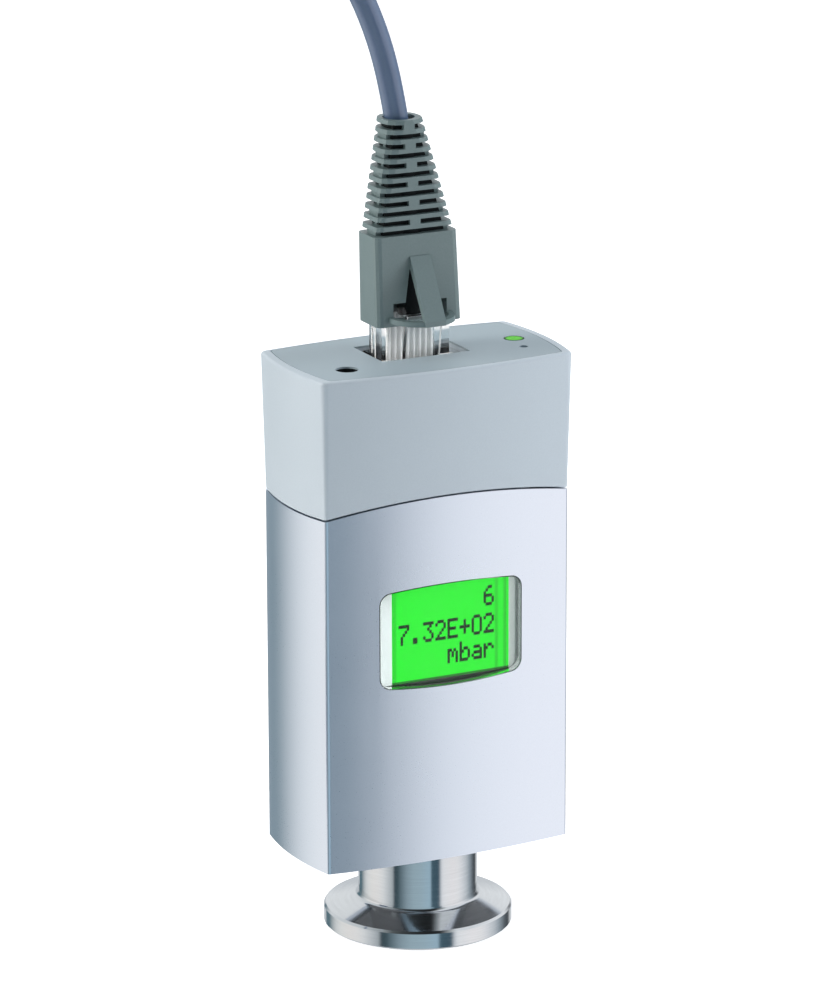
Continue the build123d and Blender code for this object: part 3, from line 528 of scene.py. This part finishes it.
def area_lamp(name, place, power, colour):
    """A square lamp at place that looks at the middle of the gauge."""
    data = bpy.data.lights.new(name, "AREA")
    data.size = lamp_w
    data.energy = power
    data.color = colour
    lamp = bpy.data.objects.new(name, data)
    scene.collection.objects.link(lamp)
    ray = lamp_aim - Vector(place)
    turn = ray.to_track_quat("-Z", "Y").to_matrix().to_4x4()
    lamp.matrix_world = Matrix.Translation(place) @ turn
    lamp.visible_glossy = False


area_lamp("left", (-0.78, 0.25, 0.45), 6.8, (1.0, 0.94, 0.88))
area_lamp("right", (0.85, -0.28, 0.33), 6.6, (1.0, 0.99, 1.0))
area_lamp("top", (0.05, 0.15, 0.95), 1.2, (1.0, 1.0, 1.0))
scene.view_settings.view_transform = "Standard"

# Flange, neck and tube: turned from one bar of stainless steel and polished, with fine
# turning marks left in it. A clamp holds the flange by the slope on its back.
polished_steel = grained(
    "polished_steel", (0.67, 0.68, 0.69), (0.76, 0.775, 0.785), 0.08, 0.16,
    scale=600, stretch=(0.3, 0.3, 12), relief=0.10, height=0.00001, Metallic=1.0,
)
finish_nodes(polished_steel, "flange_tube")

# Base plate: grey anodised aluminium that closes the sleeve's foot. Screws hold it in the
# sleeve's ports, and a plated nut on the tube's thread holds the tube in it.
grey_anodised = grained(
    "grey_anodised", (0.20, 0.21, 0.225), (0.25, 0.26, 0.275), 0.35, 0.5,
    scale=900, stretch=(10, 1, 1), relief=0.2,
)
finish_nodes(grey_anodised, "base_plate")
nickel = grained(
    "nickel", (0.62, 0.63, 0.64), (0.72, 0.73, 0.74), 0.15, 0.28,
    scale=1500, stretch=(1, 1, 6), relief=0.1, Metallic=1.0,
)
finish_nodes(nickel, "lock_nut")
screw_steel = grained(
    "screw_steel", (0.50, 0.51, 0.52), (0.60, 0.61, 0.62), 0.25, 0.4, Metallic=1.0
)
finish_nodes(screw_steel, "base_screws", "tie_screws")

# Sensor: a plated header closes the tube's top. Its gold-plated pins pass through beads of
# melted glass and carry a fine heated wire in the tube, which the gas cools.
finish_nodes(nickel, "sensor_header")
finish_nodes(gold, "header_pins")
finish_nodes(screw_steel, "filament")
seal_glass = grained(
    "seal_glass", (0.05, 0.09, 0.12), (0.08, 0.13, 0.17), 0.1, 0.2, scale=1500
)
finish_nodes(seal_glass, "glass_seals")

# Boards: green laminate. A round one sits on the sensor's pins, and a strip of pins joins it to
# the main one, which stands in the sleeve's rails. The connector board lies under the cap.
board_green = grained(
    "board_green", (0.01, 0.10, 0.04), (0.02, 0.16, 0.07), 0.25, 0.35, scale=1200
)
finish_nodes(board_green, "sensor_board", "main_board", "connector_board")
black_plastic = grained(
    "black_plastic", (0.012, 0.013, 0.015), (0.02, 0.021, 0.024), 0.35, 0.5, scale=3000
)
finish_nodes(black_plastic, "link_header", "controller_chip")
can_aluminium = grained(
    "can_aluminium", (0.60, 0.61, 0.63), (0.70, 0.71, 0.73), 0.2, 0.35,
    scale=1200, Metallic=1.0,
)
finish_nodes(can_aluminium, "capacitors")

# Sleeve: an aluminium extrusion with bulged faces and an arched top edge, bead-blasted and
# clear anodised. The boards slide into its rails, and its ports take the screws.
satin_aluminium = grained(
    "satin_aluminium", (0.82, 0.87, 0.95), (0.87, 0.92, 1.00), 0.27, 0.32,
    scale=5000, relief=0.25, patch=25, Metallic=1.0,
)
finish_nodes(satin_aluminium, "housing_sleeve")

# Display panel: a sheet of glass over a green light, clipped in its holder. The lit area is
# dimmer in strips at both sides, and has a dark line along its foot.
panel_low, panel_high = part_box("lcd_panel")
full_glow = 0.74
# Each strip: the axis across it, its two edges, and the glow that it takes away.
dim_strips = (
    ("X", panel_low[0], panel_low[0] + 0.7 * MM, 0.20),
    ("X", panel_high[0] - 2.4 * MM, panel_high[0] - 1.9 * MM, 0.22),
    ("X", panel_high[0] - 0.9 * MM, panel_high[0] - 0.4 * MM, 0.26),
    ("Z", panel_low[2], panel_low[2] + 0.35 * MM, 0.70),
)
panel_glow = grained(
    "panel_glow", (0.0, 0.18, 0.0), (0.0, 0.22, 0.005), 0.3, 0.35,
    scale=1500, relief=0.0, Emission_Color=(0.01, 1.0, 0.02, 1), Specular_IOR_Level=0.1,
)
tree = panel_glow.node_tree
panel_axes = split_axes(tree, add_node(tree, "TexCoord", give="Object"))
glow = full_glow
for axis, low, high, dimmed in dim_strips:
    middle, half = (low + high) / 2, (high - low) / 2
    strip = add_node(tree, "Math", panel_axes[axis], middle, half, operation="COMPARE")
    glow = add_node(tree, "Math", strip, -dimmed, glow, operation="MULTIPLY_ADD")
glow = add_node(tree, "Math", glow, 0, operation="MAXIMUM")
feed_shader(panel_glow, "Emission Strength", glow)
finish_nodes(panel_glow, "lcd_panel", "lcd_backlight")

# Reading: dark dots of liquid crystal on the panel's glass, in the display's own letters of
# five by seven dots. It says a channel number, a value and its unit.
GLYPHS = {
    "0": "01110 10001 10001 10001 10001 10001 01110",
    "2": "01110 10001 00001 00010 00100 01000 11111",
    "3": "11111 00010 00100 00010 00001 10001 01110",
    "6": "00110 01000 10000 11110 10001 10001 01110",
    "7": "11111 00001 00010 00100 01000 01000 01000",
    "E": "11111 10000 10000 11110 10000 10000 11111",
    "+": "00000 00100 00100 11111 00100 00100 00000",
    ".": "00000 00000 00000 00000 00000 01100 01100",
    "m": "00000 00000 11010 10101 10101 10001 10001",
    "b": "10000 10000 10110 11001 10001 10001 11110",
    "a": "00000 00000 01110 00001 01111 10001 01111",
    "r": "00000 00000 10110 11001 10000 10000 10000",
}
reading = (("       6", 55.7 * MM), ("7.32E+02", 51.2 * MM), ("    mbar", 47.2 * MM))
first_letter_x, letter_pitch = -8.3 * MM, 2.1 * MM
# Dots stand a little proud of the glass, and each laps over its neighbours.
dot_w, dot_h, dot_proud = 0.35 * MM, 0.46 * MM, 0.03 * MM
lapped_w, lapped_half_h = 1.15 * dot_w, 0.55 * dot_h
middle_row = 3
verts, faces = [], []
for text, middle in reading:
    for place, letter in enumerate(text):
        if letter == " ":
            continue
        for down, bits in enumerate(GLYPHS[letter].split()):
            for across, bit in enumerate(bits):
                if bit == "0":
                    continue
                x = first_letter_x + place * letter_pitch + across * dot_w
                z = middle + (middle_row - down) * dot_h
                start = len(verts)
                for y in (panel_low[1], panel_low[1] - dot_proud):
                    verts += [
                        (x, y, z - lapped_half_h),
                        (x + lapped_w, y, z - lapped_half_h),
                        (x + lapped_w, y, z + lapped_half_h),
                        (x, y, z + lapped_half_h),
                    ]
                faces.append((start + 4, start + 5, start + 6, start + 7))
                faces += [
                    (start + a, start + b, start + b + 4, start + a + 4)
                    for a, b in ((0, 1), (1, 2), (2, 3), (3, 0))
                ]
digits_mesh = bpy.data.meshes.new("display_digits")
digits_mesh.from_pydata(verts, [], faces)
digits = bpy.data.objects.new("display_digits", digits_mesh)
scene.collection.objects.link(digits)
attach(digits, "gauge")
dark_dots = grained(
    "dark_dots", (0.0, 0.02, 0.0), (0.0, 0.03, 0.0), 0.6, 0.7,
    scale=1500, relief=0.0, Specular_IOR_Level=0.0,
)
digits_mesh.materials.append(dark_dots)

# Display holder: a pale moulded frame behind the window, which shows at the panel's sides. Below
# the panel's foot it is near black. It glows faintly, which is painted light that lifts its side in
# shade.
holder_black = (0.002, 0.015, 0.003, 1)
# Painted light: the holder glows faintly, though it is no lamp.
white_holder_painted_glow = grained(
    "white_holder_painted_glow", (0.86, 0.92, 0.93), (0.92, 0.97, 0.98), 0.35, 0.45,
    scale=3000, Emission_Strength=0.09,
)
tree = white_holder_painted_glow.node_tree
holder_axes = split_axes(tree, add_node(tree, "TexCoord", give="Object"))
above_bar = add_node(tree, "Math", holder_axes["Z"], panel_low[2], operation="GREATER_THAN")


def grain_colour(mat):
    """The colour that comes out of a material's grain group."""
    return mat.node_tree.nodes["Group"].outputs["Color"]


holder_colour = mix_colours(tree, above_bar, holder_black, grain_colour(white_holder_painted_glow))
feed_shader(white_holder_painted_glow, "Base Color", holder_colour)
feed_shader(white_holder_painted_glow, "Emission Color", holder_colour)
finish_nodes(white_holder_painted_glow, "display_frame")

# Display window: a clear moulding, flush in the sleeve's cut-out, with a rim hidden behind the
# sleeve. At the display's right its edge is tinted dark, as painted shade of the gap round it.
window_low, window_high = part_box("display_window")
hidden_rim, window_corner_r = 1.35 * MM, 2.0 * MM
edge_from, edge_to = 0.42 * MM, 0.30 * MM
right_from, right_to = panel_high[0] - 1 * MM, panel_high[0] + 2 * MM
window_edge_shade = (0.10, 0.16, 0.16, 1)
window_clear = grained(
    "window_clear", (0.94, 0.97, 0.96), (0.97, 0.99, 0.98), 0.02, 0.05,
    scale=400, relief=0.02, Transmission_Weight=1.0, IOR=1.35, Specular_IOR_Level=0.08,
)
tree = window_clear.node_tree
window_axes = split_axes(tree, add_node(tree, "TexCoord", give="Object"))
# How far a place lies out of the rectangle between the middles of the window's four corners.
past_inner = []
for axis, index in (("X", 0), ("Z", 2)):
    low, high = window_low[index], window_high[index]
    inner_half = (high - low) / 2 - hidden_rim - window_corner_r
    away = add_node(tree, "Math", window_axes[axis], (low + high) / 2, operation="SUBTRACT")
    either_way = add_node(tree, "Math", away, operation="ABSOLUTE")
    past = add_node(tree, "Math", either_way, inner_half, operation="SUBTRACT")
    past_inner.append(add_node(tree, "Math", past, 0, operation="MAXIMUM"))
past_both = add_node(tree, "CombineXYZ", *past_inner)
out = add_node(tree, "VectorMath", past_both, operation="LENGTH", give="Value")
near_edge = add_node(tree, "MapRange", out, window_corner_r - edge_from, window_corner_r - edge_to)
at_right = add_node(tree, "MapRange", window_axes["X"], right_from, right_to)
# Painted shade: the window's edge is tinted dark at the display's right.
painted_edge_shade = add_node(tree, "Math", near_edge, at_right, operation="MULTIPLY")
window_colour = mix_colours(tree, painted_edge_shade, grain_colour(window_clear), window_edge_shade)
feed_shader(window_clear, "Base Color", window_colour)
finish_nodes(window_clear, "display_window")
# Lamp light passes through it.
nodes["display_window"].visible_shadow = False

# Cap: a moulded plastic lid, arched to follow the sleeve's edge and held by long screws from the
# sleeve's ports. A thin film fills the recess in its top. The jack's hole is painted black inside,
# as painted shade.
_, cap_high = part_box("top_cap")
jack_eye_down, jack_shade_r = 1.2 * MM, 2.2 * MM
jack_hole_shade = (0.01, 0.012, 0.013, 1)


def box_middle(name):
    """The middle of a CAD node's box."""
    low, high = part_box(name)
    return [(low[index] + high[index]) / 2 for index in range(3)]


jack_x, jack_y, _ = box_middle("jack_sleeve")
cap_plastic = grained(
    "cap_plastic", (0.57, 0.65, 0.71), (0.61, 0.69, 0.75), 0.44, 0.52,
    scale=4500, relief=0.35, height=0.00003, patch=30, Metallic=0.3,
)
tree = cap_plastic.node_tree
own_place = add_node(tree, "TexCoord", give="Object")
jack_eye = (jack_x, jack_y, cap_high[2] - jack_eye_down)
to_jack = add_node(tree, "VectorMath", own_place, jack_eye, operation="DISTANCE", give="Value")
# Painted shade: the cap is black within this distance of a point in the jack's hole.
in_jack_shade = add_node(tree, "Math", to_jack, jack_shade_r, operation="LESS_THAN")
cap_colour = mix_colours(tree, in_jack_shade, grain_colour(cap_plastic), jack_hole_shade)
feed_shader(cap_plastic, "Base Color", cap_colour)
finish_nodes(cap_plastic, "top_cap")
overlay_film = grained(
    "overlay_film", (0.33, 0.42, 0.47), (0.36, 0.45, 0.50), 0.38, 0.48,
    scale=3500, relief=0.2, patch=40,
)
finish_nodes(overlay_film, "top_overlay")

# Socket and jack: black mouldings soldered to the connector board. The socket has gold-plated
# spring wires in it and a folded, plated can round it, and the jack has a plated sleeve.
finish_nodes(black_plastic, "socket_housing", "service_jack")
finish_nodes(nickel, "socket_shield", "jack_sleeve")
finish_nodes(gold, "socket_contacts")

# Status light: a green moulded pipe, flush with the film, over a small lamp on the board. It
# glows in the middle and is dark green where it meets the hole.
light_x, light_y, _ = box_middle("light_pipe")
light_r, light_rim = 1.5 * MM, 0.45 * MM
light_glow = 0.28
rim_green = (0.03, 0.10, 0.02, 1)
light_green = grained(
    "light_green", (0.09, 0.38, 0.03), (0.12, 0.45, 0.05), 0.2, 0.3,
    scale=1500, relief=0.1,
    Emission_Color=(0.12, 0.80, 0.04, 1), Specular_IOR_Level=0.15, IOR=1.15,
)
tree = light_green.node_tree
own_place = add_node(tree, "TexCoord", give="Object")
from_axis = add_node(tree, "VectorMath", own_place, (light_x, light_y, 0), operation="SUBTRACT")
level = add_node(tree, "VectorMath", from_axis, (1, 1, 0), operation="MULTIPLY")
off_axis = add_node(tree, "VectorMath", level, operation="LENGTH", give="Value")
lit = add_node(tree, "MapRange", off_axis, light_r, light_r - light_rim)
light_colour = mix_colours(tree, lit, rim_green, grain_colour(light_green))
feed_shader(light_green, "Base Color", light_colour)
lit_glow = add_node(tree, "Math", lit, light_glow, operation="MULTIPLY")
feed_shader(light_green, "Emission Strength", lit_glow)
finish_nodes(light_green, "light_pipe", "status_led")

# Adjust switch, behind the pin hole: a black base, a white plunger, and under the plunger a
# thin sprung disc, which flattens as the plunger comes down.
finish_nodes(black_plastic, "adjust_switch")
finish_nodes(nickel, "switch_dome")
white_button = grained(
    "white_button", (0.62, 0.64, 0.65), (0.68, 0.70, 0.71), 0.4, 0.5, scale=3000
)
finish_nodes(white_button, "adjust_plunger")
snap_dome = bpy.data.objects.new("snap_dome", nodes["switch_dome"].data.copy())
scene.collection.objects.link(snap_dome)
snap_dome.matrix_world = nodes["switch_dome"].matrix_world.copy()
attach(snap_dome, "gauge")
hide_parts("switch_dome")
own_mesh(snap_dome)
